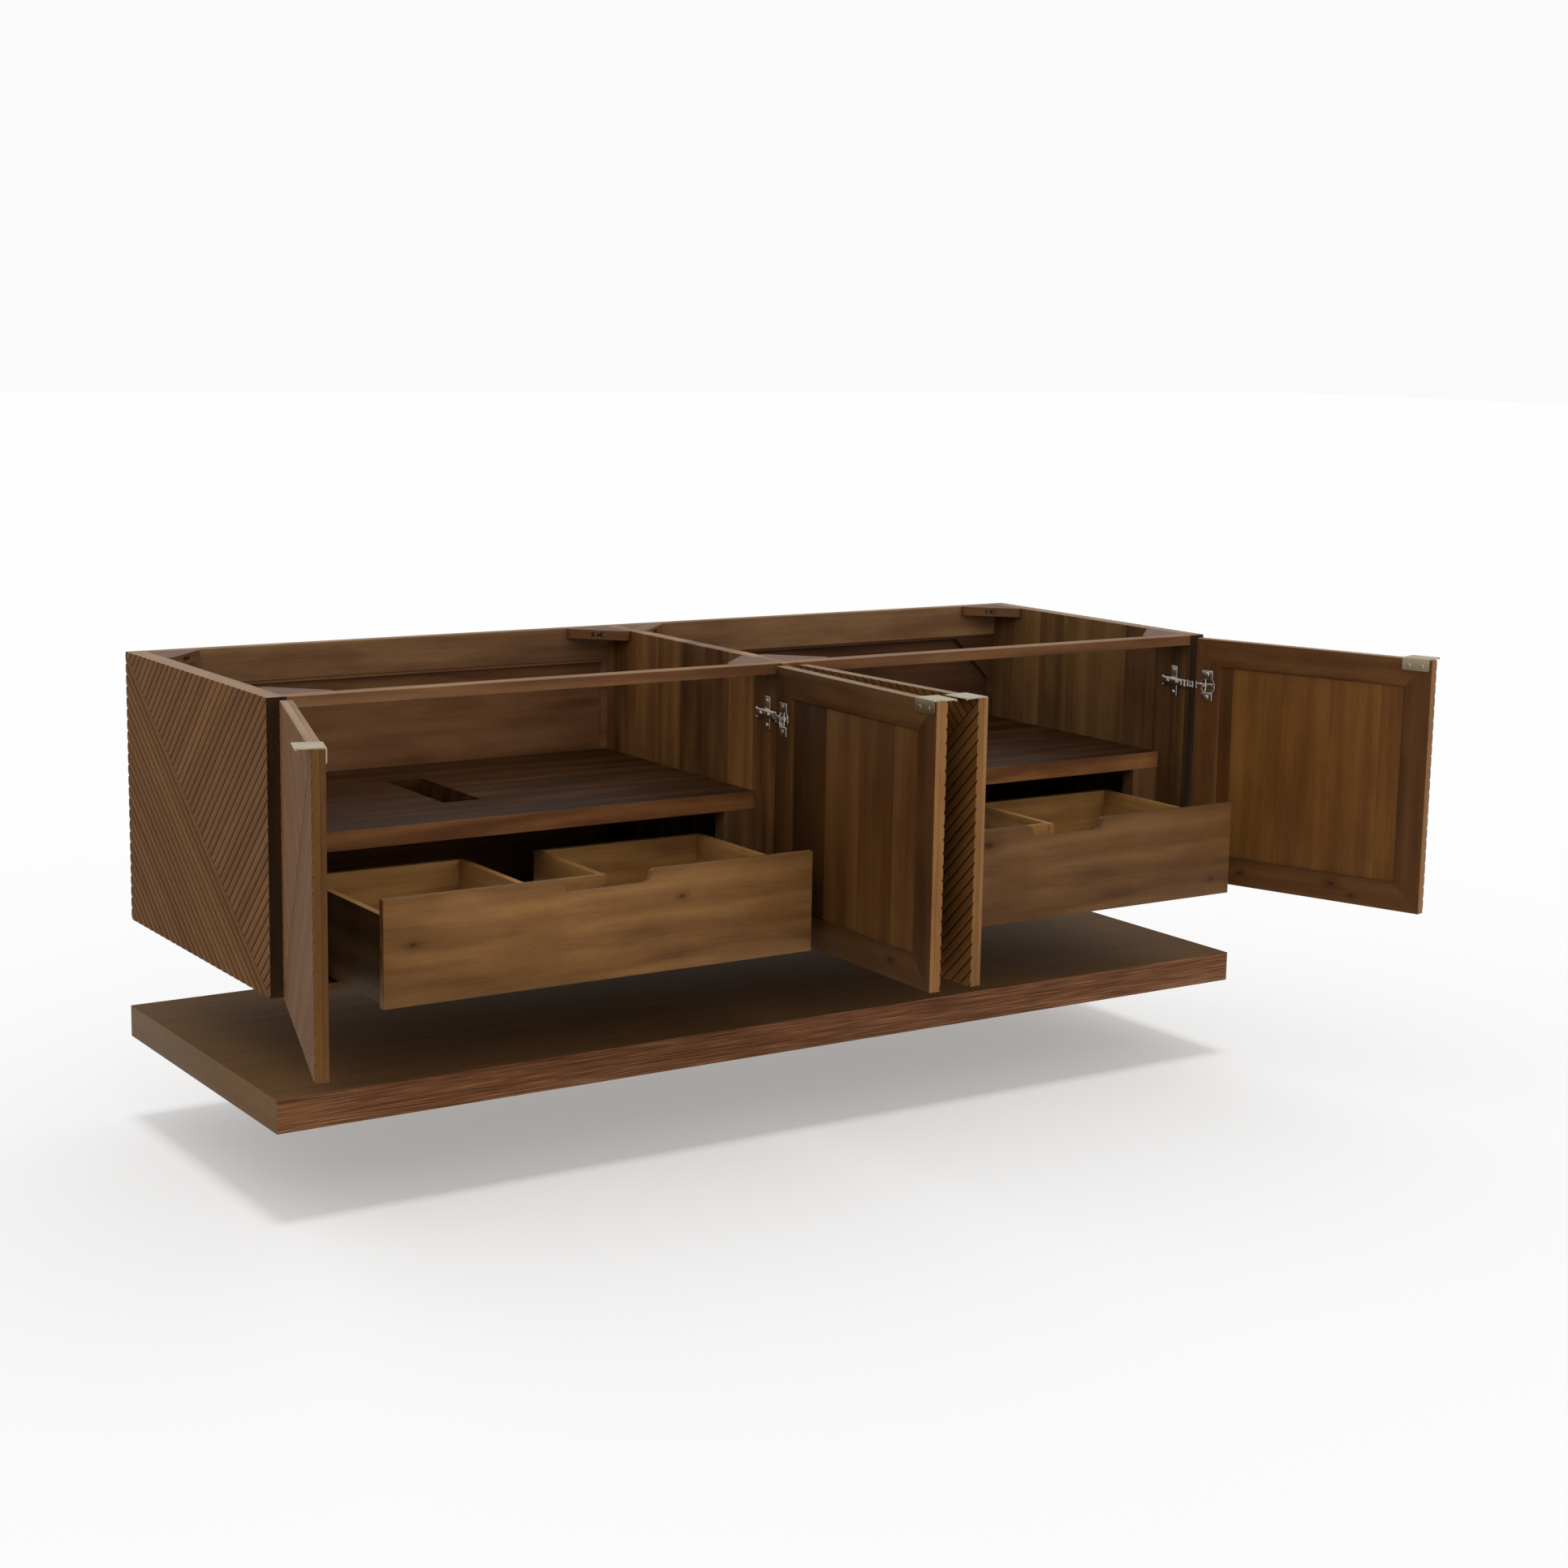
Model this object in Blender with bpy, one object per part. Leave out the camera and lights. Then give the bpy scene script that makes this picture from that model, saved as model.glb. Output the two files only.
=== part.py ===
"""Wall-hung double bathroom vanity cabinet without its top, and the thick floating shelf that hangs below it.
Metres, +Z up. The wall is the plane y = 0 and the room is on the -Y side. The origin is on the back rail's
wall face, at the middle of the cabinet. The four doors stand open and both inner drawers are pulled out."""

import math

import bmesh
import bpy
from mathutils import Matrix, Vector

for old in list(bpy.data.objects):
    bpy.data.objects.remove(old)

# ---------------------------------------------------------------- driving dimensions
WIDTH = 1.829            # over the two reeded sides
DEPTH = 0.600            # wall to the front edges of the carcass
HEIGHT = 0.452
GAP = 0.0003             # between pieces that touch

RAIL_HEIGHT = 0.060      # back rail
RAIL_THICK = 0.020
TOP = RAIL_HEIGHT / 2
BOTTOM = TOP - HEIGHT
SIDE_THICK = 0.032
DIVIDER_THICK = 0.025
FLOOR_THICK = 0.012
FRONT_RAIL_DEPTH = 0.025
FRONT_RAIL_HEIGHT = 0.018
BLOCK_THICK = 0.017
BLOCK_LEG = 0.085
BLOCK_BLUNT = 0.010

BACK_THICK = 0.012       # back panel, with the access cover behind it
COVER_THICK = 0.006
ACCESS_MARGIN = 0.010
ACCESS_CHAMFER = 0.085

SHELF_DROP = HEIGHT / 2  # from the cabinet's top to the shelf over the drawer
SHELF_THICK = 0.030
SHELF_SETBACK = 0.075    # behind the carcass's front edges
CUTOUT_WIDTH = 0.068
CUTOUT_SHIFT = -0.038    # from the middle of the bay
CUTOUT_FRONT = 0.376     # distance of its two ends from the wall
CUTOUT_BACK = 0.150
POST_WIDTH = 0.060
POST_DEPTH = 0.030

DOOR_THICK = 0.020
DOOR_BOARD = 0.012       # outer reeded board, the rest is the back frame
DOOR_REVEAL = 0.002      # at the outer sides
DOOR_SPACE = 0.003       # between two doors
DOOR_BEHIND = 0.003      # between a closed door and the carcass
DOOR_TOP_DROP = 0.003
DOOR_BOTTOM_RISE = 0.003
AXIS_INSET = 0.010       # hinge axis from the door's hinge edge, in the plane of its outer face
STILE = 0.050
DOOR_OPEN = (107.6, 88.5, 87.0, 109.0)

HINGE_DROP = 0.085       # hinge centre from the door's ends
CUP_PLATE = (0.022, 0.056, 0.0022)
CUP_FROM_EDGE = 0.013
ARM_LENGTH = 0.066
ARM_HEIGHT = 0.014
ARM_THICK = 0.012
PLATE_HEIGHT = 0.056
PLATE_LENGTH = 0.016
PLATE_THICK = 0.003

TAB_WIDTH = 0.050
TAB_FROM_EDGE = 0.004
TAB_SHEET = 0.0018
TAB_OVERHANG = 0.020
TAB_BACK_HEIGHT = 0.020
TAB_LIP = 0.0032

DRAWER_SIDE_GAP = 0.003
DRAWER_TOP_GAP = 0.019        # under the shelf
DRAWER_FLOOR_GAP = 0.003      # over the cabinet's floor
DRAWER_FRONT_THICK = 0.014
DRAWER_OUT = 0.193            # front face in front of the carcass, pulled out
BOX_INSET = 0.006
BOX_WALL = 0.012
BOX_BOTTOM = 0.006
BOX_LENGTH = 0.320
BOX_TOP_DROP = 0.027          # below the top of the drawer front
BOX_RISE = 0.003              # above the bottom of the drawer front
RECESS_WIDTH = 0.128          # between its two walls
RECESS_SHIFT = -0.015
RECESS_FRONT = 0.099          # from the drawer front to the board that closes the recess
NOTCH_TOP = 0.156
NOTCH_FLOOR = 0.136
NOTCH_DEPTH = 0.021

SLAB_LEFT = -0.005            # slab's ends, from the cabinet's left side
SLAB_RIGHT = 1.895
SLAB_DEPTH = 0.630
SLAB_THICK = 0.053
SLAB_GAP = 0.148              # from the cabinet's underside to the slab's top

# ---------------------------------------------------------------- derived positions
LEFT = -WIDTH / 2
BAY_WIDTH = (WIDTH - 2 * SIDE_THICK - DIVIDER_THICK) / 2
BAYS = {"left": LEFT + SIDE_THICK, "right": DIVIDER_THICK / 2}
FRONT = -DEPTH
BACK_FRONT = -(COVER_THICK + BACK_THICK + GAP)
DOOR_WIDTH = (WIDTH - 2 * DOOR_REVEAL - 3 * DOOR_SPACE) / 4
DOOR_HEIGHT = HEIGHT - DOOR_TOP_DROP - DOOR_BOTTOM_RISE
DOOR_BASE = BOTTOM + DOOR_BOTTOM_RISE
AXIS_Y = FRONT - DOOR_BEHIND - DOOR_THICK


def material(name, colour, roughness, metallic=0.0):
    made = bpy.data.materials.new(name)
    made.use_nodes = True
    shader = made.node_tree.nodes["Principled BSDF"]
    shader.inputs["Base Color"].default_value = (*colour, 1)
    shader.inputs["Roughness"].default_value = roughness
    shader.inputs["Metallic"].default_value = metallic
    return made


WALNUT = material("walnut_stain", (0.105, 0.045, 0.018), 0.5)
DOOR_WALNUT = material("walnut_door", (0.125, 0.055, 0.021), 0.45)
DRAWER_WOOD = material("drawer_walnut", (0.16, 0.075, 0.03), 0.5)
VENEER = material("slab_veneer", (0.06, 0.036, 0.018), 0.45)
BRASS = material("brass", (0.78, 0.62, 0.38), 0.3, 1.0)
NICKEL = material("nickel", (0.62, 0.60, 0.56), 0.25, 1.0)


def mesh_object(name, bm, skin):
    bmesh.ops.recalc_face_normals(bm, faces=bm.faces)
    mesh = bpy.data.meshes.new(name)
    bm.to_mesh(mesh)
    bm.free()
    made = bpy.data.objects.new(name, mesh)
    bpy.context.scene.collection.objects.link(made)
    if skin:
        made.data.materials.append(skin)
    return made


def prism(name, outline, low, high, plane, skin):
    """A solid of one outline, drawn in plane xy, xz or yz and extruded along the third axis from low to high."""
    bm = bmesh.new()
    ends = []
    for level in (low, high):
        ring = []
        for a, b in outline:
            point = {"xy": (a, b, level), "xz": (a, level, b), "yz": (level, a, b)}[plane]
            ring.append(bm.verts.new(point))
        ends.append(ring)
    bm.faces.new(ends[0])
    bm.faces.new(ends[1])
    count = len(outline)
    for i in range(count):
        j = (i + 1) % count
        bm.faces.new((ends[0][i], ends[0][j], ends[1][j], ends[1][i]))
    return mesh_object(name, bm, skin)


def box(name, x, y, z, skin):
    outline = [(x[0], y[0]), (x[1], y[0]), (x[1], y[1]), (x[0], y[1])]
    return prism(name, outline, z[0], z[1], "xy", skin)


def combine(target, tool, operation):
    """Cut the tool from the target, or join it on. The tool itself never shows."""
    tool.hide_render = True
    tool.display_type = "WIRE"
    modifier = target.modifiers.new(tool.name, "BOOLEAN")
    modifier.operation = operation
    modifier.solver = "EXACT"
    modifier.object = tool


# ---------------------------------------------------------------- carcass
def carcass():
    """Two sides, the divider, one floor board and the rails that tie them together."""
    inner_left = LEFT + SIDE_THICK
    inner_right = -inner_left
    floor_top = BOTTOM + FLOOR_THICK
    box("side_left", (LEFT, inner_left - GAP), (FRONT, 0), (BOTTOM, TOP), WALNUT)
    box("side_right", (inner_right + GAP, -LEFT), (FRONT, 0), (BOTTOM, TOP), WALNUT)
    half = DIVIDER_THICK / 2
    box("divider", (-half, half), (FRONT, -RAIL_THICK - GAP), (floor_top + GAP, TOP), WALNUT)
    box("cabinet_floor", (inner_left, inner_right), (FRONT, BACK_FRONT - GAP), (BOTTOM, floor_top), WALNUT)
    box("back_rail", (inner_left, inner_right), (-RAIL_THICK, 0), (TOP - RAIL_HEIGHT, TOP), WALNUT)


def front_rail(side):
    """The flat rail over a bay's two doors."""
    low = BAYS[side] + GAP
    high = BAYS[side] + BAY_WIDTH - GAP
    rail_y = (FRONT, FRONT + FRONT_RAIL_DEPTH)
    box("front_rail_" + side, (low, high), rail_y, (TOP - FRONT_RAIL_HEIGHT, TOP), WALNUT)


def back_panel(side):
    """A bay's back board with a big opening, and the access cover fixed behind it. The right opening's corners are cut off."""
    low = BAYS[side] + GAP
    high = BAYS[side] + BAY_WIDTH - GAP
    z_low = BOTTOM
    z_high = TOP - RAIL_HEIGHT - GAP
    y_cover = (-COVER_THICK, 0)
    y_back = (BACK_FRONT, -COVER_THICK - GAP)
    if side == "left":
        high += DIVIDER_THICK / 2
    else:
        low -= DIVIDER_THICK / 2
    board = box("back_panel_" + side, (low, high), y_back, (z_low, z_high), WALNUT)
    left = BAYS[side] + ACCESS_MARGIN
    right = BAYS[side] + BAY_WIDTH - ACCESS_MARGIN
    down = BOTTOM + FLOOR_THICK + 0.040
    up = z_high - ACCESS_MARGIN / 2
    cut = ACCESS_CHAMFER
    if side == "left":
        outline = [(left, down), (right, down), (right, up), (left, up)]
    else:
        outline = [
            (left + cut, down),
            (right - cut, down),
            (right, down + cut),
            (right, up - cut),
            (right - cut, up),
            (left + cut, up),
            (left, up - cut),
            (left, down + cut),
        ]
    opening = prism("cut_access_" + side, outline, y_back[0] - 0.01, y_back[1] + 0.01, "xz", None)
    combine(board, opening, "DIFFERENCE")
    box("access_cover_" + side, (low, high), y_cover, (z_low, z_high), WALNUT)


def corner_block(name, x, y, dx, dy):
    """A flat triangular block screwed into one top corner, with blunt ends."""
    blunt = BLOCK_BLUNT
    leg = BLOCK_LEG
    steps = [(0, 0), (leg, 0), (leg, blunt), (blunt, leg), (0, leg)]
    outline = [(x + dx * (a + GAP), y + dy * (b + GAP)) for a, b in steps]
    prism("corner_block_" + name, outline, TOP - BLOCK_THICK, TOP, "xy", WALNUT)


def corner_blocks(side):
    low = BAYS[side]
    high = BAYS[side] + BAY_WIDTH
    front = FRONT + FRONT_RAIL_DEPTH
    back = -RAIL_THICK
    corner_block(side + "_back_a", low, back, 1, -1)
    corner_block(side + "_back_b", high, back, -1, -1)
    corner_block(side + "_front_a", low, front, 1, 1)
    corner_block(side + "_front_b", high, front, -1, 1)


def drawer_housing(side):
    """The shelf that roofs the drawer, cut for the drain pipe, and the post at each end of the drawer."""
    low = BAYS[side]
    high = BAYS[side] + BAY_WIDTH
    top = TOP - SHELF_DROP
    y_front = FRONT + SHELF_SETBACK
    shelf_y = (y_front, BACK_FRONT - GAP)
    shelf = box("shelf_" + side, (low + GAP, high - GAP), shelf_y, (top - SHELF_THICK, top), WALNUT)
    middle = (low + high) / 2 + CUTOUT_SHIFT
    cut_x = (middle - CUTOUT_WIDTH / 2, middle + CUTOUT_WIDTH / 2)
    cut_z = (top - SHELF_THICK - 0.01, top + 0.01)
    cutter = box("cut_shelf_" + side, cut_x, (-CUTOUT_FRONT, -CUTOUT_BACK), cut_z, None)
    combine(shelf, cutter, "DIFFERENCE")
    post_z = (BOTTOM + FLOOR_THICK + GAP, top - SHELF_THICK - GAP)
    post_y = (y_front, y_front + POST_DEPTH)
    box("post_" + side + "_a", (low + GAP, low + POST_WIDTH), post_y, post_z, WALNUT)
    box("post_" + side + "_b", (high - POST_WIDTH, high - GAP), post_y, post_z, WALNUT)


def hinge_arm(name, x, direction, z):
    """The fixed half of a concealed hinge: a wing plate and the arm that reaches the carcass's front edge."""
    near = x + direction * GAP
    y_front = FRONT + 0.001
    arm_x = sorted((near, x + direction * ARM_THICK))
    arm_z = (z - ARM_HEIGHT / 2, z + ARM_HEIGHT / 2)
    arm = box("hinge_arm_" + name, arm_x, (y_front, y_front + ARM_LENGTH), arm_z, NICKEL)
    plate_x = sorted((near, x + direction * PLATE_THICK))
    plate_y = (y_front + 0.030, y_front + 0.030 + PLATE_LENGTH)
    plate_z = (z - PLATE_HEIGHT / 2, z + PLATE_HEIGHT / 2)
    combine(arm, box("join_plate_" + name, plate_x, plate_y, plate_z, None), "UNION")


# ---------------------------------------------------------------- doors
def door(number):
    """A door built in its own frame (x from the hinge edge, y from the outer face inwards), then swung open."""
    turned = number % 2 == 0
    away = -1 if turned else 1
    name = "door_" + str(number)
    edge = LEFT + DOOR_REVEAL + (number - 1) * (DOOR_WIDTH + DOOR_SPACE)
    edge += DOOR_WIDTH if turned else 0
    board = (0, DOOR_BOARD - GAP)
    frame = (DOOR_BOARD, DOOR_THICK)
    height = (0, DOOR_HEIGHT)
    pieces = [box(name + "_reeded_board", (0, DOOR_WIDTH), board, height, DOOR_WALNUT)]
    ring = box(name + "_back_frame", (0, DOOR_WIDTH), frame, height, DOOR_WALNUT)
    inner_x = (STILE, DOOR_WIDTH - STILE)
    inner_z = (STILE, DOOR_HEIGHT - STILE)
    window = box("cut_" + name, inner_x, (DOOR_BOARD - 0.01, DOOR_THICK + 0.01), inner_z, None)
    combine(ring, window, "DIFFERENCE")
    pieces += [ring, window, pull_tab(name)]
    for level, z in (("low", HINGE_DROP), ("high", DOOR_HEIGHT - HINGE_DROP)):
        wide, tall, thick = CUP_PLATE
        plate_x = (CUP_FROM_EDGE, CUP_FROM_EDGE + wide)
        plate_y = (DOOR_THICK + GAP, DOOR_THICK + GAP + thick)
        plate_z = (z - tall / 2, z + tall / 2)
        pieces.append(box(name + "_hinge_plate_" + level, plate_x, plate_y, plate_z, NICKEL))
        side_x = edge - away * DOOR_REVEAL + away * SIDE_THICK
        if number in (2, 3):
            side_x = away * DIVIDER_THICK / 2
        hinge_arm(name + "_" + level, side_x, away, DOOR_BASE + z)
    swing = math.radians(-DOOR_OPEN[number - 1] * away)
    flip = Matrix.Diagonal((away, 1, 1, 1))
    shift = Matrix.Translation((-AXIS_INSET, 0, 0))
    axis = (edge + away * AXIS_INSET, AXIS_Y, DOOR_BASE)
    place = Matrix.Translation(axis) @ Matrix.Rotation(swing, 4, "Z")
    for piece in pieces:
        bake(piece, flip @ shift)
        piece.matrix_world = place


def bake(piece, matrix):
    """Move the mesh itself. A mirrored mesh gets its faces turned the right way out again."""
    bm = bmesh.new()
    bm.from_mesh(piece.data)
    bm.transform(matrix)
    bm.normal_update()
    bmesh.ops.recalc_face_normals(bm, faces=bm.faces)
    bm.to_mesh(piece.data)
    bm.free()


def pull_tab(name):
    """Bent brass pull: a flange behind the door, one over its top edge, and a lip along the free end."""
    back = DOOR_THICK + GAP + TAB_SHEET
    top = DOOR_HEIGHT + GAP
    lip = TAB_LIP - TAB_SHEET
    outline = [
        (back, top - TAB_BACK_HEIGHT),
        (back, top + TAB_SHEET),
        (-TAB_OVERHANG, top + TAB_SHEET),
        (-TAB_OVERHANG, top - lip),
        (-TAB_OVERHANG + TAB_LIP, top - lip),
        (-TAB_OVERHANG + TAB_LIP, top),
        (DOOR_THICK + GAP, top),
        (DOOR_THICK + GAP, top - TAB_BACK_HEIGHT),
    ]
    end = DOOR_WIDTH - TAB_FROM_EDGE
    return prism(name + "_pull_tab", outline, end - TAB_WIDTH, end, "yz", BRASS)


# ---------------------------------------------------------------- drawers
def drawer(side):
    """A notched front, and a U-shaped tray whose middle is left open at the back so that it clears the drain."""
    middle = BAYS[side] + BAY_WIDTH / 2
    half = BAY_WIDTH / 2 - POST_WIDTH - DRAWER_SIDE_GAP
    top = TOP - SHELF_DROP - SHELF_THICK - DRAWER_TOP_GAP
    low = BOTTOM + FLOOR_THICK + DRAWER_FLOOR_GAP
    y_front = FRONT - DRAWER_OUT
    y_inner = y_front + DRAWER_FRONT_THICK
    outline = [
        (middle - half, low),
        (middle + half, low),
        (middle + half, top),
        (middle + NOTCH_TOP / 2, top),
        (middle + NOTCH_FLOOR / 2, top - NOTCH_DEPTH),
        (middle - NOTCH_FLOOR / 2, top - NOTCH_DEPTH),
        (middle - NOTCH_TOP / 2, top),
        (middle - half, top),
    ]
    prism("drawer_front_" + side, outline, y_front, y_inner - GAP, "xz", DRAWER_WOOD)
    box_half = half - BOX_INSET
    box_z = (low + BOX_RISE, top - BOX_TOP_DROP)
    box_x = (middle - box_half, middle + box_half)
    body = box("drawer_box_" + side, box_x, (y_inner, y_inner + BOX_LENGTH), box_z, DRAWER_WOOD)
    recess = middle + RECESS_SHIFT
    near = recess - RECESS_WIDTH / 2
    far = recess + RECESS_WIDTH / 2
    inside_back = y_inner + BOX_LENGTH - BOX_WALL
    inside_x = (box_x[0] + BOX_WALL, box_x[1] - BOX_WALL)
    pocket_z = (box_z[0] + BOX_BOTTOM, box_z[1] + 0.01)
    tray = [
        (inside_x[0], y_inner + BOX_WALL),
        (inside_x[1], y_inner + BOX_WALL),
        (inside_x[1], inside_back),
        (far + BOX_WALL, inside_back),
        (far + BOX_WALL, y_inner + RECESS_FRONT),
        (near - BOX_WALL, y_inner + RECESS_FRONT),
        (near - BOX_WALL, inside_back),
        (inside_x[0], inside_back),
    ]
    combine(body, prism("cut_tray_" + side, tray, *pocket_z, "xy", None), "DIFFERENCE")
    recess_y = (y_inner + RECESS_FRONT + BOX_WALL, y_inner + BOX_LENGTH + 0.01)
    recess_z = (box_z[0] - 0.01, box_z[1] + 0.01)
    combine(body, box("cut_recess_" + side, (near, far), recess_y, recess_z, None), "DIFFERENCE")


def floating_slab():
    """The separate thick shelf fixed to the same wall below the cabinet."""
    slab_top = BOTTOM - SLAB_GAP
    slab_x = (LEFT + SLAB_LEFT, LEFT + SLAB_RIGHT)
    box("floating_shelf", slab_x, (-SLAB_DEPTH, 0), (slab_top - SLAB_THICK, slab_top), VENEER)


carcass()
for bay in ("left", "right"):
    front_rail(bay)
    back_panel(bay)
    corner_blocks(bay)
    drawer_housing(bay)
    drawer(bay)
for door_number in (1, 2, 3, 4):
    door(door_number)
floating_slab()
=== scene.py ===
import math

import bmesh
import bpy
from mathutils import Matrix, Vector


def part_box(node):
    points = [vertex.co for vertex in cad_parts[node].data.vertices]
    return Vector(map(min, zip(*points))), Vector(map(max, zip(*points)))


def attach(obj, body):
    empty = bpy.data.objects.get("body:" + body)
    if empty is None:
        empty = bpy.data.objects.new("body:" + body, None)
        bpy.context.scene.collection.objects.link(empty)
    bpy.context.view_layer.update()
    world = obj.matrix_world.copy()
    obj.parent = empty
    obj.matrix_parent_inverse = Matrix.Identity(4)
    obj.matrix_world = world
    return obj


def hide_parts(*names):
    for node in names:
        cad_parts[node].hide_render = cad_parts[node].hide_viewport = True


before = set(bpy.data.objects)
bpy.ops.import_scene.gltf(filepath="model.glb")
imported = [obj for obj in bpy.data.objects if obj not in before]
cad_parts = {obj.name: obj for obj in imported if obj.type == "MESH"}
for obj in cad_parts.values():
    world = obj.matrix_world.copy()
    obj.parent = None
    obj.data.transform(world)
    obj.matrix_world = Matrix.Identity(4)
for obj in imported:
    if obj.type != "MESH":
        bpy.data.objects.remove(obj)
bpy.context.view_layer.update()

# ================================================================= the studio
# A pale sweep of floor a hand's width under the slab, one even white sky for soft light, and a
# camera that stands left of the cabinet and a little above its top, looking down at it slightly.


def shade(red, green, blue):
    """A display colour, each part 0 to 255, as the linear light that a shader takes."""
    return tuple(((c / 255 + 0.055) / 1.055) ** 2.4 if c > 10 else c / 3294 for c in (red, green, blue))


EYE = Vector((-2.3643, -4.1545, 0.5800))
YAW, PITCH, ROLL = 0.5761, 0.1640, 0.0160

ahead = Vector((math.sin(YAW) * math.cos(PITCH), math.cos(YAW) * math.cos(PITCH), -math.sin(PITCH)))
level = Vector((math.cos(YAW), -math.sin(YAW), 0))
upright = level.cross(ahead)
right = level * math.cos(ROLL) + upright * math.sin(ROLL)
up = upright * math.cos(ROLL) - level * math.sin(ROLL)
turn = Matrix((right, up, -ahead)).transposed()
camera = bpy.data.objects.new("camera", bpy.data.cameras.new("camera"))
camera.data.sensor_width = 36
camera.data.lens = 59.96
camera.data.shift_x = 0.016
camera.data.shift_y = -0.018
camera.data.clip_end = 100
camera.matrix_world = Matrix.Translation(EYE) @ turn.to_4x4()
bpy.context.scene.collection.objects.link(camera)
bpy.context.scene.camera = camera
bpy.context.scene.view_settings.view_transform = "Standard"


class Signal:
    """One output in a material's nodes. Arithmetic on it adds the Math node that does the sum."""

    def __init__(self, finish, socket):
        self.finish = finish
        self.socket = socket

    def sum(self, operation, *values):
        return self.finish.node("Math", {"operation": operation}, dict(enumerate(values)))

    def __add__(self, other):
        return self.sum("ADD", self, other)

    def __sub__(self, other):
        return self.sum("SUBTRACT", self, other)

    def __rsub__(self, other):
        return self.sum("SUBTRACT", other, self)

    def __mul__(self, other):
        return self.sum("MULTIPLY", self, other)

    def __truediv__(self, other):
        return self.sum("DIVIDE", self, other)

    def __pow__(self, other):
        return self.sum("POWER", self, other)

    __radd__ = __add__
    __rmul__ = __mul__

    def step(self, low, high):
        """0 below low, 1 above high, and a smooth rise between."""
        settings = {"interpolation_type": "SMOOTHSTEP"}
        return self.finish.node("MapRange", settings, {0: self, 1: low, 2: high})


class Finish:
    """A material in the making. node() adds a node of any kind and set() fills the shader's sockets."""

    def __init__(self, name, **constants):
        self.material = bpy.data.materials.new(name)
        self.material.use_nodes = True
        self.tree = self.material.node_tree
        self.shader = self.tree.nodes["Principled BSDF"]
        self.set(**constants)

    def plug(self, socket, value):
        if isinstance(value, Signal):
            self.tree.links.new(value.socket, socket)
        elif socket.type == "RGBA" and len(value) == 3:
            socket.default_value = (*value, 1)
        else:
            socket.default_value = value

    def set(self, **values):
        for name, value in values.items():
            self.plug(self.shader.inputs[name.replace("_", " ")], value)

    def node(self, kind, settings=None, sockets=None, output=None):
        made = self.tree.nodes.new("ShaderNode" + kind)
        for name, value in (settings or {}).items():
            if name == "stops":
                made.color_ramp.elements[0].position = value[0][0]
                made.color_ramp.elements[0].color = (*value[0][1], 1)
                made.color_ramp.elements[1].position = value[-1][0]
                made.color_ramp.elements[1].color = (*value[-1][1], 1)
                for place, colour in value[1:-1]:
                    made.color_ramp.elements.new(place).color = (*colour, 1)
            else:
                setattr(made, name, value)
        open_inputs = [socket for socket in made.inputs if socket.enabled]
        for key, value in (sockets or {}).items():
            named = [socket for socket in open_inputs if socket.name == key]
            self.plug(open_inputs[key] if isinstance(key, int) else named[0], value)
        outputs = [socket for socket in made.outputs if socket.enabled]
        chosen = [socket for socket in outputs if socket.name == output]
        return Signal(self, chosen[0] if output else outputs[0])

    def vector(self, x, y, z):
        return self.node("CombineXYZ", None, {0: x, 1: y, 2: z})

    def noise(self, place, scale=1.0, detail=2.0, rough=0.5, twist=0.0):
        sockets = {"Vector": place, "Scale": scale, "Detail": detail, "Roughness": rough, "Distortion": twist}
        return self.node("TexNoise", None, sockets)

    def blend(self, share, first, second):
        return self.node("Mix", {"data_type": "RGBA"}, {"Factor": share, "A": first, "B": second})


def plain_floor():
    """Matt white paint, very slightly cloudy. The sky alone can't bring it to the paper white of the
    room behind, so it glows a little by itself."""
    paint = Finish("floor_paint", Roughness=1.0, Specular_IOR_Level=0.0, Emission_Strength=1.0)
    place = paint.node("TexCoord", output="Object")
    cloud = paint.noise(place, 0.8, 3)
    paint.set(Base_Color=paint.blend(cloud, (0.60, 0.60, 0.60), (0.612, 0.612, 0.612)))
    paint.set(Emission_Color=(0.30, 0.30, 0.30))
    return paint.material


SLAB_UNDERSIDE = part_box("floating_shelf")[0][2]
FLOOR_LEVEL = SLAB_UNDERSIDE - 0.140
FLOOR_HALF_WIDTH = 40
ground = bmesh.new()
bmesh.ops.create_grid(ground, x_segments=2, y_segments=2, size=FLOOR_HALF_WIDTH)
bmesh.ops.translate(ground, vec=(0, 0, FLOOR_LEVEL), verts=ground.verts)
floor_mesh = bpy.data.meshes.new("floor")
ground.to_mesh(floor_mesh)
ground.free()
floor = bpy.data.objects.new("floor", floor_mesh)
floor_mesh.materials.append(plain_floor())
bpy.context.scene.collection.objects.link(floor)

sky = bpy.data.worlds.new("sky")
sky.use_nodes = True
bpy.context.scene.world = sky
SKY_LIGHT = 0.80
SKY_SEEN = 0.955
sky_tree = sky.node_tree
rays = sky_tree.nodes.new("ShaderNodeLightPath")
seen = sky_tree.nodes.new("ShaderNodeMapRange")
seen.inputs["To Min"].default_value = SKY_LIGHT
seen.inputs["To Max"].default_value = SKY_SEEN
sky_tree.links.new(rays.outputs["Is Camera Ray"], seen.inputs["Value"])
sky_tree.links.new(seen.outputs["Result"], sky_tree.nodes["Background"].inputs["Strength"])
sky_tree.nodes["Background"].inputs["Color"].default_value = (1, 1, 1, 1)


def lamp(name, kind, energy, place, aim, size=1.0):
    made = bpy.data.objects.new(name, bpy.data.lights.new(name, kind))
    made.data.energy = energy
    if kind == "SUN":
        made.data.angle = size
    else:
        made.data.shape = "SQUARE"
        made.data.size = size
    made.location = place
    made.rotation_euler = (Vector(aim) - Vector(place)).to_track_quat("-Z", "Y").to_euler()
    bpy.context.scene.collection.objects.link(made)
    return made


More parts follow.
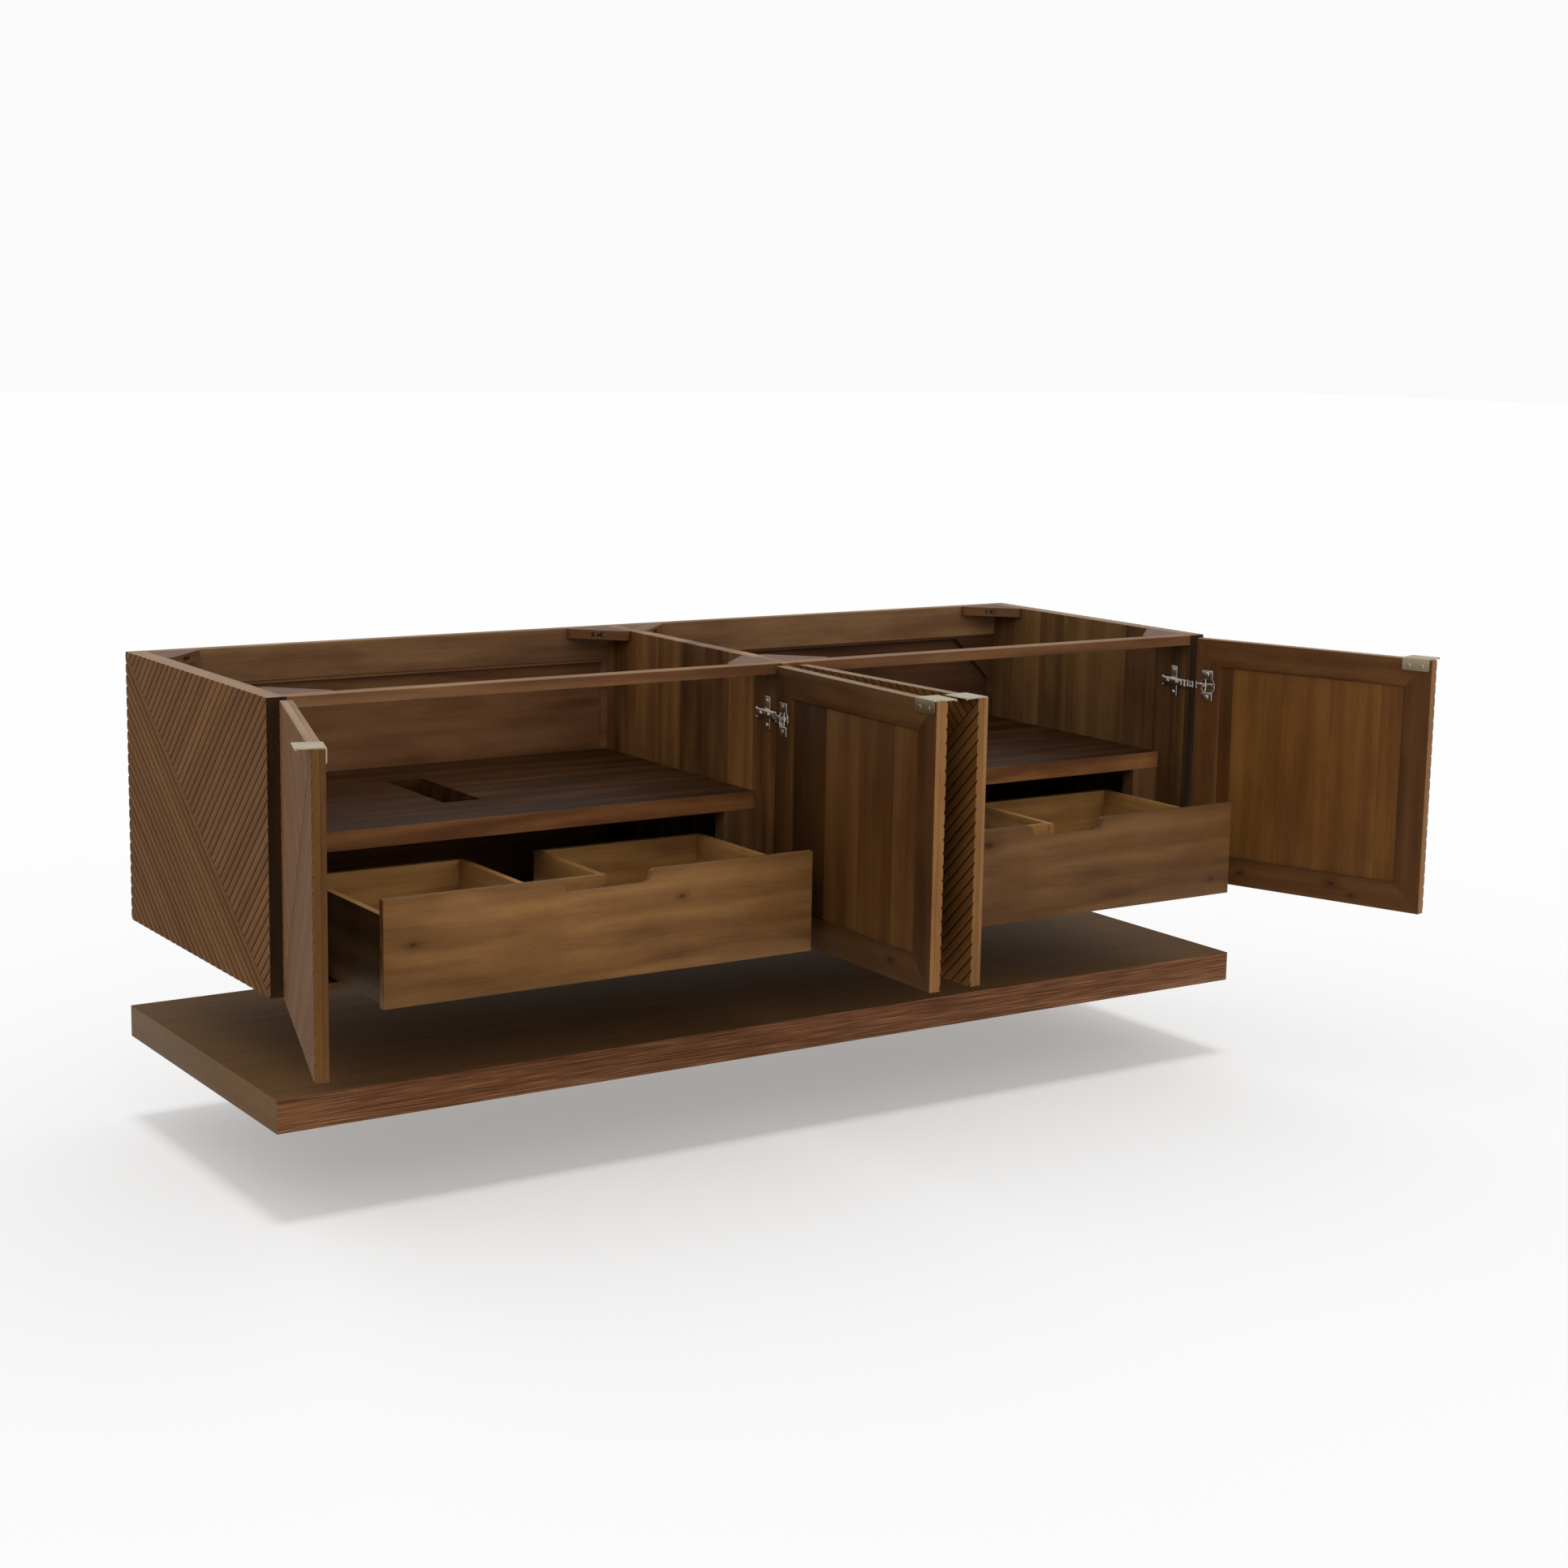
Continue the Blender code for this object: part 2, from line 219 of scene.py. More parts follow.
# The lamp that draws the slab's soft shadow lights only the floor, and only the slab stops it.
overhead = lamp("overhead", "SUN", 1.05, (0, -0.3, 3), (0, -0.3, 0), math.radians(15))
floor_only = bpy.data.collections.new("floor_only")
floor_only.objects.link(floor)
overhead.light_linking.receiver_collection = floor_only
slab_only = bpy.data.collections.new("slab_only")
overhead.light_linking.blocker_collection = slab_only
softbox = lamp("softbox", "AREA", 26, (-2.6, -2.4, 2.2), (0, -0.4, -0.1), 1.8)
fill = lamp("fill", "AREA", 14, (1.6, -3.4, 1.2), (0.2, -0.4, -0.2), 1.8)
all_but_floor = bpy.data.collections.new("all_but_floor")
all_but_floor.objects.link(floor)
all_but_floor.collection_objects[0].light_linking.link_state = "EXCLUDE"
for box_lamp in (softbox, fill):
    box_lamp.light_linking.receiver_collection = all_but_floor

# ================================================================= reeded side boards
# Solid stained walnut, 32 mm thick. Each face is two fields of 15 mm reeds that meet on the board's
# diagonal: one field runs along the diagonal, the other at 45 degrees, and both run out at the edges.
X, Y, Z = Vector((1, 0, 0)), Vector((0, 1, 0)), Vector((0, 0, 1))
SIDE_LOW, SIDE_HIGH = (Vector(corner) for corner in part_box("side_left"))
CABINET_TOP, CABINET_BOTTOM = SIDE_HIGH.z, SIDE_LOW.z
CABINET_FRONT, CABINET_LEFT = SIDE_LOW.y, SIDE_LOW.x
INNER_LEFT = SIDE_HIGH.x


def walnut(name, shades, axes=None, seed=0.0, stave=0.0, gloss=0.46, figure=1.0, knots=(), mottle=0.5,
           fleck=0.30, streak=26, shine=0.10, paint_groove_shade=False, face=None):
    """Stained walnut with a satin lacquer. The pattern lies in grain space: x along the grain, y across
    it and z into the wood, either from the piece's own attribute or, for axes, from where it stands."""
    dark, middle, light = shades
    wood = Finish(name, Roughness=gloss, Specular_IOR_Level=shine, Specular_Tint=(1.0, 0.80, 0.60))
    if axes:
        place = wood.node("TexCoord", output="Object")
        along, across = axes
        parts = [wood.node("VectorMath", {"operation": "DOT_PRODUCT"}, {0: place, 1: axis}, "Value")
                 for axis in (along, across, along.cross(across))]
        x, y, z = parts[0] + seed * 1.37, parts[1] + seed * 0.61, parts[2] + seed * 0.23
    else:
        place = wood.node("Attribute", {"attribute_name": "grain"}, output="Vector")
        x, y, z = (wood.node("SeparateXYZ", None, {0: place}, axis) for axis in "XYZ")
    board_tone = 0.0
    if stave:
        strips = y / stave + 0.35
        strip = strips.sum("FLOOR", strips)
        lot = wood.node("TexWhiteNoise", {"noise_dimensions": "1D"}, {"W": strip + 0.5}, "Value")
        x, z = x + lot * 3.1, z + lot * 0.9
        board_tone = (lot - 0.5) * 0.42
    # Growth rings, cut lengthwise: slow waves across the board, stretched along it.
    sway = wood.noise(wood.vector(x * 1.5, y * 7, z * 7), 1.0, 3, 0.55, 0.25)
    waves = y * 95 + z * 120 + sway * 26 * figure
    rings = (waves.sum("SINE", waves) + 1) * 0.5
    bands = wood.noise(wood.vector(x * 1.1, y * 26, z * 26), 1.0, 3, 0.6)
    clouds = wood.noise(wood.vector(x * 5, y * 9, z * 9), 1.0, 3, 0.6)
    fibre = wood.noise(wood.vector(x * streak, y * 820, z * 820), 1.0, 3, 0.6)
    pores = wood.noise(wood.vector(x * 55, y * 2100, z * 2100), 1.0, 1, 0.5).step(0.60, 0.74)
    tone = 0.5 + (rings - 0.5) * 0.20 * figure + (bands - 0.5) * 1.8 * mottle + (clouds - 0.5) * mottle
    tone = tone + board_tone + (fibre - 0.5) * fleck
    colour = wood.node("ValToRGB", {"stops": [(0.12, dark), (0.5, middle), (0.88, light)]}, {0: tone})
    # Painted light and shade: faces past a level along one direction take a second set of shades. This paints
    # lit rail tops and lit shelf noses, and gives the access covers plain wood on their wall side.
    if face:
        outwards, level, painted_light_shades = face
        other = wood.node("ValToRGB", {"stops": list(zip((0.12, 0.5, 0.88), painted_light_shades))}, {0: tone})
        out = wood.node("VectorMath", {"operation": "DOT_PRODUCT"}, {0: place, 1: outwards}, "Value")
        colour = wood.blend(out.step(level - 0.0016, level - 0.0006), colour, other)
    for knot_x, knot_y, size in knots:
        dx, dy = (x - knot_x) / 1.9, y - knot_y
        reach = (dx * dx + dy * dy) ** 0.5 + (sway - 0.5) * size * 1.6
        halo = 1 - reach.step(size * 0.5, size * 3.2)
        heart = 1 - reach.step(size * 0.25, size * 1.05)
        colour = wood.blend(halo * 0.55, colour, dark)
        colour = wood.blend(heart * 0.75, colour, tuple(part * 0.32 for part in dark))
    colour = wood.blend(pores * 0.35, colour, tuple(part * 0.45 for part in dark))
    # Painted shade: the reed grooves darken with their depth.
    if paint_groove_shade:
        groove = wood.node("Attribute", {"attribute_name": "groove"}, output="Fac")
        colour = wood.blend(groove.step(0.08, 0.75) * 0.82, colour, tuple(part * 0.22 for part in dark))
    wood.set(Base_Color=colour, Roughness=gloss + (fibre - 0.5) * 0.16 + pores * 0.1)
    height = (fibre - pores * 0.8) * 0.5 + bands * 0.3
    wood.set(Normal=wood.node("Bump", None, {"Strength": 0.22, "Distance": 0.0004, "Height": height}))
    return wood.material


def lay_grain(bm, along, across, seed=0.0, faces=None):
    """Write the grain's own coordinates on these faces, from where they are now."""
    layer = bm.loops.layers.float_vector.get("grain") or bm.loops.layers.float_vector.new("grain")
    into = along.cross(across)
    start = Vector((1.37, 0.61, 0.23)) * seed
    for face in faces if faces is not None else bm.faces:
        for loop in face.loops:
            spot = loop.vert.co
            loop[layer] = Vector((spot.dot(along), spot.dot(across), spot.dot(into))) + start


SHARP_FROM = math.radians(35)


def finish_piece(name, bm, skins, body, stands_for=(), place=None):
    """Close the work on one piece: put it in its place, turn its faces outwards and fix it to its body."""
    if place is not None:
        bm.transform(place)
    bm.normal_update()
    bmesh.ops.recalc_face_normals(bm, faces=bm.faces)
    mesh = bpy.data.meshes.new(name)
    bm.to_mesh(mesh)
    bm.free()
    for skin in skins:
        mesh.materials.append(skin)
    mesh.shade_smooth()
    mesh.set_sharp_from_angle(angle=SHARP_FROM)
    made = bpy.data.objects.new(name, mesh)
    bpy.context.scene.collection.objects.link(made)
    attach(made, body)
    if stands_for:
        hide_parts(*stands_for)
    return made


def points_of(geometry):
    """The vertices in what a bmesh operator gives back."""
    return [item for item in geometry if isinstance(item, bmesh.types.BMVert)]


def span(edge, axis):
    """How far apart an edge's two ends lie along one axis: 0 for X, 1 for Y, 2 for Z."""
    return abs(edge.verts[0].co[axis] - edge.verts[1].co[axis])


def ease(bm, items, width, segments, profile=0.5, affect="EDGES"):
    """Round these edges, or the corners of a flat outline."""
    bmesh.ops.bevel(bm, geom=items, offset=width, affect=affect, segments=segments, profile=profile,
                    material=-1)


REED_PITCH = 0.0150
REED_ANGLE = math.radians(45)
GROOVE_DEEP = 0.0027
# One reed from groove to groove: millimetres across it and millimetres deep.
REED_SHAPE = ((0, 2.7), (1.5, 0.62), (3.2, 0.22), (5.4, 0.05), (7.5, 0),
              (9.6, 0.05), (11.8, 0.22), (13.5, 0.62), (15, 2.7))


def across_reeds(angle):
    """The direction across reeds that run at this angle."""
    return Vector((-math.sin(angle), 0, math.cos(angle)))


def reeded_field(width, height, thick, angle, phase, beyond):
    """One half of a reeded board, in a frame where X is along the board, Y into it and Z up. The reeds run
    at this angle, and the half kept lies on the side of the diagonal that beyond points away from."""
    bm = bmesh.new()
    along = Vector((math.cos(angle), 0, math.sin(angle)))
    across = across_reeds(angle)
    reach = width + height
    count = int(reach / REED_PITCH) + 2
    first = across * (phase - REED_PITCH * (count // 2)) - along * reach
    line = [bm.verts.new(first + across * (w / 1000) + Y * (d / 1000)) for w, d in REED_SHAPE]
    edges = [bm.edges.new(pair) for pair in zip(line, line[1:])]
    bmesh.ops.extrude_edge_only(bm, edges=edges)
    bmesh.ops.translate(bm, vec=along * reach * 2, verts=[v for v in bm.verts if v not in line])
    bmesh.ops.spin(bm, geom=bm.verts[:] + bm.edges[:] + bm.faces[:], cent=(0, 0, 0), axis=(0, 1, 0), angle=0,
                   dvec=across * REED_PITCH, steps=count - 1, use_duplicate=True)
    bmesh.ops.remove_doubles(bm, verts=bm.verts, dist=1e-5)
    top_left, bottom_right = Vector((0, 0, height)), Vector((width, 0, 0))
    cuts = [((0, 0, 0), -X), ((0, 0, 0), -Z), (bottom_right, X), (top_left, Z), (top_left, beyond)]
    for spot, outwards in cuts:
        bmesh.ops.bisect_plane(bm, geom=bm.verts[:] + bm.edges[:] + bm.faces[:], dist=1e-6, plane_co=spot,
                               plane_no=outwards, clear_outer=True)
    rim = [edge for edge in bm.edges if edge.is_boundary]
    for vert in points_of(bmesh.ops.extrude_edge_only(bm, edges=rim)["geom"]):
        vert.co.y = thick
    back_rim = [edge for edge in bm.edges if edge.is_boundary]
    bmesh.ops.contextual_create(bm, geom=back_rim)
    bm.normal_update()
    bmesh.ops.recalc_face_normals(bm, faces=bm.faces)
    return bm, along, across


def reeded_board(width, height, thick, phase, seed):
    """The two fields together, with the skins in this order: reeds, level edges, back, upright edges."""
    off_seam = Vector((height, 0, width)).normalized()
    tilt = math.atan2(-height, width)
    seam_phase = Vector((0, 0, height)).dot(across_reeds(tilt))
    fields = ((REED_ANGLE, phase, -off_seam), (tilt, seam_phase, off_seam))
    board = bmesh.new()
    for number, (angle, start, beyond) in enumerate(fields):
        bm, along, across = reeded_field(width, height, thick, angle, start, beyond)
        lay_grain(bm, along, across, seed + number)
        # How deep each point lies in its groove; the shader paints shade from it.
        groove = bm.loops.layers.float.new("groove")
        for face in bm.faces:
            upright, level_edge = abs(face.normal.x) > 0.99, abs(face.normal.z) > 0.99
            for loop in face.loops:
                loop[groove] = loop.vert.co.y / GROOVE_DEEP
            if face.normal.y > 0.9:
                face.material_index = 2
                lay_grain(bm, Z, X, seed + 3, [face])
            elif abs(face.normal.y) < 0.05 and (upright or level_edge):
                face.material_index = 1 if level_edge else 3
                lay_grain(bm, X if level_edge else Z, Y, seed + 5 + number, [face])
        half = bpy.data.meshes.new("half")
        bm.to_mesh(half)
        bm.free()
        board.from_mesh(half)
        bpy.data.meshes.remove(half)
    return board


STAIN = (shade(65, 38, 15), shade(97, 63, 30), shade(120, 83, 45))
# Painted highlight: the level edges of the side boards and doors are lighter, as if lit from above; their
# undersides take the same colour.
LIT_EDGE_SHADES = (shade(93, 64, 37), shade(135, 101, 65), shade(164, 131, 91))
INNER_STAIN = (shade(52, 33, 18), shade(86, 58, 33), shade(112, 80, 46))
# Painted shade: the side boards' upright edges are dark, as if in deep shadow.
SHADED_SIDE_EDGE = (shade(30, 18, 10), shade(45, 30, 18), shade(62, 43, 27))
walnut_reeds = walnut("walnut_reeds", STAIN, figure=0.5, gloss=0.5, mottle=0.25, shine=0.04, paint_groove_shade=True)
walnut_level_edges_lit = walnut("walnut_level_edges_lit", LIT_EDGE_SHADES, figure=0.4, gloss=0.40)
walnut_shaded_side_edges = walnut("walnut_shaded_side_edges", SHADED_SIDE_EDGE, figure=0.4, shine=0.03)
walnut_inner = walnut("walnut_inner", INNER_STAIN, stave=0.085, figure=0.5, mottle=0.6)

side_depth = SIDE_HIGH.y - SIDE_LOW.y
side_height = CABINET_TOP - CABINET_BOTTOM
side_thick = INNER_LEFT - CABINET_LEFT
# The first groove runs out of the front edge just under the top corner.
GROOVE_BELOW_TOP = 0.0023
side_phase = Vector((side_depth, 0, side_height - GROOVE_BELOW_TOP)).dot(across_reeds(REED_ANGLE))
side_skins = (walnut_reeds, walnut_level_edges_lit, walnut_inner, walnut_shaded_side_edges)
for hand, name in ((1, "side_left"), (-1, "side_right")):
    # Along the board is from the wall to the front, and into it is towards the bays.
    frame_of_side = Matrix(((0, hand, 0, hand * CABINET_LEFT), (-1, 0, 0, SIDE_HIGH.y),
                            (0, 0, 1, CABINET_BOTTOM), (0, 0, 0, 1)))
    board = reeded_board(side_depth, side_height, side_thick, side_phase, 2.0 + hand)
    finish_piece(name + "_reeded", board, side_skins, "cabinet", (name,), frame_of_side)

# ================================================================= carcass boards
# Divider, floor, rails, back boards, the shelves over the drawers and their posts: sawn walnut boards,
# glued and screwed, with their arrises just broken by sandpaper.
PLAIN = (shade(58, 37, 21), shade(90, 61, 37), shade(116, 85, 54))
DIVIDER = (shade(58, 36, 19), shade(96, 63, 34), shade(124, 86, 47))
# Painted light and shade: one back board wood, as a lit copy for the left bay and a darker shaded copy for the
# right bay, access covers included.
BACK_LEFT_LIT = (shade(79, 51, 31), shade(111, 75, 48), shade(130, 94, 62))
BACK_RIGHT_SHADED = (shade(55, 34, 21), shade(79, 52, 33), shade(94, 65, 44))
BACK_RAIL = (shade(86, 58, 37), shade(119, 86, 58), shade(147, 114, 80))
# Painted shade: the shelves are made dark, as if in the shade inside the bays; their front faces take a
# lighter, lit copy as painted light.
SHELF_SHADED = (shade(29, 15, 6), shade(54, 32, 14), shade(79, 51, 25))
SHELF_NOSE_LIT = (shade(62, 39, 22), shade(108, 69, 40), shade(153, 103, 61))
RAIL = (shade(72, 44, 24), shade(100, 66, 41), shade(124, 89, 58))
# Painted highlight: the top faces of the divider and the rails take this lighter copy, as if lit from above.
RAIL_TOP_LIT = (shade(100, 67, 38), shade(137, 99, 62), shade(168, 130, 84))
lit_top_faces = (Z, CABINET_TOP, RAIL_TOP_LIT)
lit_shelf_nose = (-Y, -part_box("shelf_left")[0][1], SHELF_NOSE_LIT)
wall_face = (Y, SIDE_HIGH.y, PLAIN)
boards = {
    "divider": (DIVIDER, Z, Y, 0.078, lit_top_faces),
    "cabinet_floor": (PLAIN, X, Y, 0.0, None),
    "back_rail": (BACK_RAIL, X, Z, 0.0, lit_top_faces),
    "front_rail_left": (RAIL, X, Y, 0.0, lit_top_faces),
    "front_rail_right": (RAIL, X, Y, 0.0, lit_top_faces),
    "back_panel_left": (BACK_LEFT_LIT, X, Z, 0.0, None),
    "back_panel_right": (BACK_RIGHT_SHADED, X, Z, 0.0, None),
    "access_cover_left": (BACK_LEFT_LIT, X, Z, 0.0, wall_face),
    "access_cover_right": (BACK_RIGHT_SHADED, X, Z, 0.0, wall_face),
    "shelf_left": (SHELF_SHADED, X, Y, 0.0, lit_shelf_nose),
    "shelf_right": (SHELF_SHADED, X, Y, 0.0, lit_shelf_nose),
    "post_left_a": (PLAIN, Z, X, 0.0, None),
    "post_left_b": (PLAIN, Z, X, 0.0, None),
    "post_right_a": (PLAIN, Z, X, 0.0, None),
    "post_right_b": (PLAIN, Z, X, 0.0, None),
}
ARRIS = 0.0008
for number, (name, (shades, along, across, stave, face)) in enumerate(boards.items()):
    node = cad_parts[name]
    skin = walnut("walnut_" + name, shades, (along, across), 3.1 + number * 1.7, stave, face=face)
    node.material_slots[0].material = skin
    weld = node.modifiers.new("weld", "WELD")
    weld.merge_threshold = 0.00001
    soften = node.modifiers.new("arris", "BEVEL")
    soften.width = ARRIS
    soften.segments = 2
    soften.limit_method = "ANGLE"

# ================================================================= corner blocks
# Flat triangles of walnut, 17 mm thick, flush with the cabinet's top. The back ones have a pair of
# overlapping pocket holes in the long edge, each with a steel screw that goes up into the basin top.


def steel(name, tint, rough):
    """Plated metal with faint brushing."""
    metal = Finish(name, Metallic=1.0, Roughness=rough)
    place = metal.node("TexCoord", output="Object")
    smear = metal.noise(place, 90, 3)
    scratch = metal.noise(place, 1400, 2)
    metal.set(Base_Color=metal.blend(smear, tint, tuple(part * 0.86 for part in tint)))
    metal.set(Roughness=rough + (smear - 0.5) * 0.16 + (scratch - 0.5) * 0.10)
    metal.set(Normal=metal.node("Bump", None, {"Strength": 0.12, "Distance": 0.0001, "Height": scratch}))
    return metal.material


def block(bm, low, high, bevel=0.0005, segments=2):
    """A rectangular bar between two corners, with softened edges."""
    low, high = Vector(low), Vector(high)
    made = bmesh.ops.create_cube(bm, size=1.0)["verts"]
    bmesh.ops.scale(bm, vec=high - low, verts=made)
    bmesh.ops.translate(bm, vec=(high + low) / 2, verts=made)
    ease(bm, list({edge for vert in made for edge in vert.link_edges}), bevel, segments)


def lathe(bm, line, centre, axis, steps):
    """Turn an open line of vertices once round an axis."""
    edges = [bm.edges.new(pair) for pair in zip(line, line[1:])]
    bmesh.ops.spin(bm, geom=line + edges, cent=centre, axis=axis, dvec=(0, 0, 0), angle=math.tau, steps=steps,
                   use_merge=True)
    bmesh.ops.remove_doubles(bm, verts=bm.verts, dist=1e-6)


def screw(bm, spot, outwards, radius, rise):
    """A screw's domed head, with a round recess for the driver."""
    outwards = Vector(outwards).normalized()
    head = bmesh.new()
    dome = ((0, 0), (0, radius), (rise * 0.25, radius), (rise * 0.65, radius * 0.88),
            (rise * 0.92, radius * 0.6), (rise, radius * 0.42))
    lathe(head, [head.verts.new((r, 0, h)) for h, r in dome], (0, 0, 0), (0, 0, 1), 24)
    bmesh.ops.contextual_create(head, geom=[edge for edge in head.edges if edge.is_boundary])
    cap = [face for face in head.faces if face.calc_center_median().z > rise * 0.99]
    if cap:
        bmesh.ops.inset_region(head, faces=cap, thickness=radius * 0.06)
        sunk = bmesh.ops.extrude_face_region(head, geom=cap)["geom"]
        bmesh.ops.delete(head, geom=cap, context="FACES_ONLY")
        bmesh.ops.translate(head, vec=(0, 0, -rise * 0.6), verts=points_of(sunk))
    turn_to = outwards.to_track_quat("Z", "Y").to_matrix().to_4x4()
    head.transform(Matrix.Translation(Vector(spot)) @ turn_to)
    shape = bpy.data.meshes.new("screw")
    head.to_mesh(shape)
    head.free()
    bm.from_mesh(shape)
    bpy.data.meshes.remove(shape)


def bored(bm, cutters):
    """The shape with these shapes cut out of it. Each one is a bmesh, and is used up."""
    scene = bpy.context.scene.collection
    mesh = bpy.data.meshes.new("work")
    bm.to_mesh(mesh)
    bm.free()
    work = bpy.data.objects.new("work", mesh)
    scene.objects.link(work)
    tools = []
    for cutter in cutters:
        tool_mesh = bpy.data.meshes.new("tool")
        cutter.to_mesh(tool_mesh)
        cutter.free()
        tool = bpy.data.objects.new("tool", tool_mesh)
        scene.objects.link(tool)
        tools.append(tool)
        cut = work.modifiers.new("cut", "BOOLEAN")
        cut.operation = "DIFFERENCE"
        cut.solver = "EXACT"
        cut.object = tool
    bpy.context.view_layer.update()
    done = work.evaluated_get(bpy.context.evaluated_depsgraph_get())
    result = bmesh.new()
    result.from_mesh(done.to_mesh())
    done.to_mesh_clear()
    for used in (work, *tools):
        data = used.data
        bpy.data.objects.remove(used)
        bpy.data.meshes.remove(data)
    return result


def drill(spot, direction, radius, depth, sides=24):
    """The round hole a bit leaves, as a cutter that starts just outside the face."""
    bit = bmesh.new()
    bmesh.ops.create_cone(bit, cap_ends=True, segments=sides, radius1=radius, radius2=radius, depth=depth)
    turn_to = Vector(direction).normalized().to_track_quat("Z", "Y").to_matrix().to_4x4()
    bit.transform(Matrix.Translation(Vector(spot)) @ turn_to)
    return bit


zinc = steel("zinc_screws", (0.42, 0.38, 0.32), 0.38)
walnut_blocks = walnut("walnut_blocks", RAIL, figure=0.5)
BLOCK_LEG, BLOCK_BLUNT, BLOCK_ROUND = 0.085, 0.010, 0.0035
POCKET_APART, POCKET_UP, POCKET_RADIUS, POCKET_WEB_RADIUS, POCKET_LONG = 0.0076, 0.0085, 0.0047, 0.0034, 0.026
for bay in ("left", "right"):
    for number, corner in enumerate(("back_a", "back_b", "front_a", "front_b")):
        name = "corner_block_{}_{}".format(bay, corner)
        low, high = (Vector(end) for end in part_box(name))
        dx, dy = (1 if corner.endswith("a") else -1), (-1 if corner.startswith("back") else 1)
        foot = Vector((low.x if dx > 0 else high.x, high.y if dy < 0 else low.y, low.z))
        bm = bmesh.new()
        outline = ((0, 0), (BLOCK_LEG, 0), (BLOCK_LEG, BLOCK_BLUNT), (BLOCK_BLUNT, BLOCK_LEG), (0, BLOCK_LEG))
        ring = [bm.verts.new(foot + Vector((dx * a, dy * b, 0))) for a, b in outline]
        base = bm.faces.new(ring)
        raised = bmesh.ops.extrude_face_region(bm, geom=[base])["geom"]
        bmesh.ops.translate(bm, vec=(0, 0, high.z - low.z), verts=points_of(raised))
        bm.normal_update()
        blunt = [edge for edge in bm.edges
                 if span(edge, 2) > 0.01 and (edge.verts[0].co - foot).length > BLOCK_LEG * 0.9]
        ease(bm, blunt, BLOCK_ROUND, 4)
        bmesh.ops.recalc_face_normals(bm, faces=bm.faces)
        skins = [walnut_blocks]
        if dy < 0:
            into = Vector((-dx, -dy, 0)).normalized()
            sideways = Vector((-dx, dy, 0)).normalized()
            half_way = (BLOCK_LEG + BLOCK_BLUNT) / 2
            centre = foot + Vector((dx * half_way, dy * half_way, POCKET_UP))
            pockets = [centre + sideways * side * POCKET_APART for side in (-1, 1)]
            holes = [drill(pocket, into, POCKET_RADIUS, POCKET_LONG) for pocket in pockets]
            holes.append(drill(centre, into, POCKET_WEB_RADIUS, POCKET_LONG))
            bm = bored(bm, holes)
        lay_grain(bm, Vector((dx, -dy, 0)).normalized(), Vector((dx, dy, 0)).normalized(), 30 + number)
        if dy < 0:
            for pocket in pockets:
                screw(bm, pocket + into * 0.0125, -into, 0.0034, 0.0024)
            for face in bm.faces:
                middle = face.calc_center_median()
                near = min((middle - pocket).cross(into).length for pocket in pockets)
                if near < 0.0036 and (middle - centre).dot(into) > 0.008:
                    face.material_index = 1
            skins.append(zinc)
        finish_piece(name + "_wood", bm, skins, "cabinet", (name,))

# ================================================================= hinges
# Concealed cup hinges, nickel plated. The arm is screwed to the carcass by its two wings; the cup is
# let into the door's stile under a winged flange, and a short link joins the two.
AXIS_Y = CABINET_FRONT - 0.023
nickel = steel("nickel_plate", (0.60, 0.57, 0.52), 0.24)
DOOR_OPEN = {1: 107.6, 2: 88.5, 3: 87.0, 4: 109.0}
DOOR_GAP_AT_SIDE, DOOR_GAP_BETWEEN = 0.002, 0.003
DOOR_WIDTH = (-2 * CABINET_LEFT - 2 * DOOR_GAP_AT_SIDE - 3 * DOOR_GAP_BETWEEN) / 4
DOOR_HEIGHT, DOOR_BASE, DOOR_THICK, DOOR_BOARD = 0.446, CABINET_BOTTOM + 0.003, 0.020, 0.0117
AXIS_INSET = 0.010
HINGE_DROP = 0.085
CUP_MIDDLE, CUP_RADIUS = 0.024, 0.0142


def door_place(number):
    """Where a door's own frame stands at rest: X from its hinge edge, Y from its outer face inwards, Z up."""
    away = 1 if number % 2 else -1
    edge = CABINET_LEFT + DOOR_GAP_AT_SIDE + (number - 1) * (DOOR_WIDTH + DOOR_GAP_BETWEEN)
    edge += 0 if number % 2 else DOOR_WIDTH
    swing = Matrix.Rotation(math.radians(-DOOR_OPEN[number] * away), 4, "Z")
    stand = Matrix.Translation((edge + away * AXIS_INSET, AXIS_Y, DOOR_BASE))
    return stand @ swing @ Matrix.Diagonal((away, 1, 1, 1)) @ Matrix.Translation((-AXIS_INSET, 0, 0))


def rod(bm, start, end, radius, sides=20):
    """A round pin between two points."""
    start, end = Vector(start), Vector(end)
    made = bmesh.ops.create_cone(bm, cap_ends=True, segments=sides, radius1=radius, radius2=radius,
                                 depth=(end - start).length)
    turn_to = (end - start).normalized().to_track_quat("Z", "Y").to_matrix().to_4x4()
    bmesh.ops.transform(bm, matrix=Matrix.Translation((start + end) / 2) @ turn_to, verts=made["verts"])


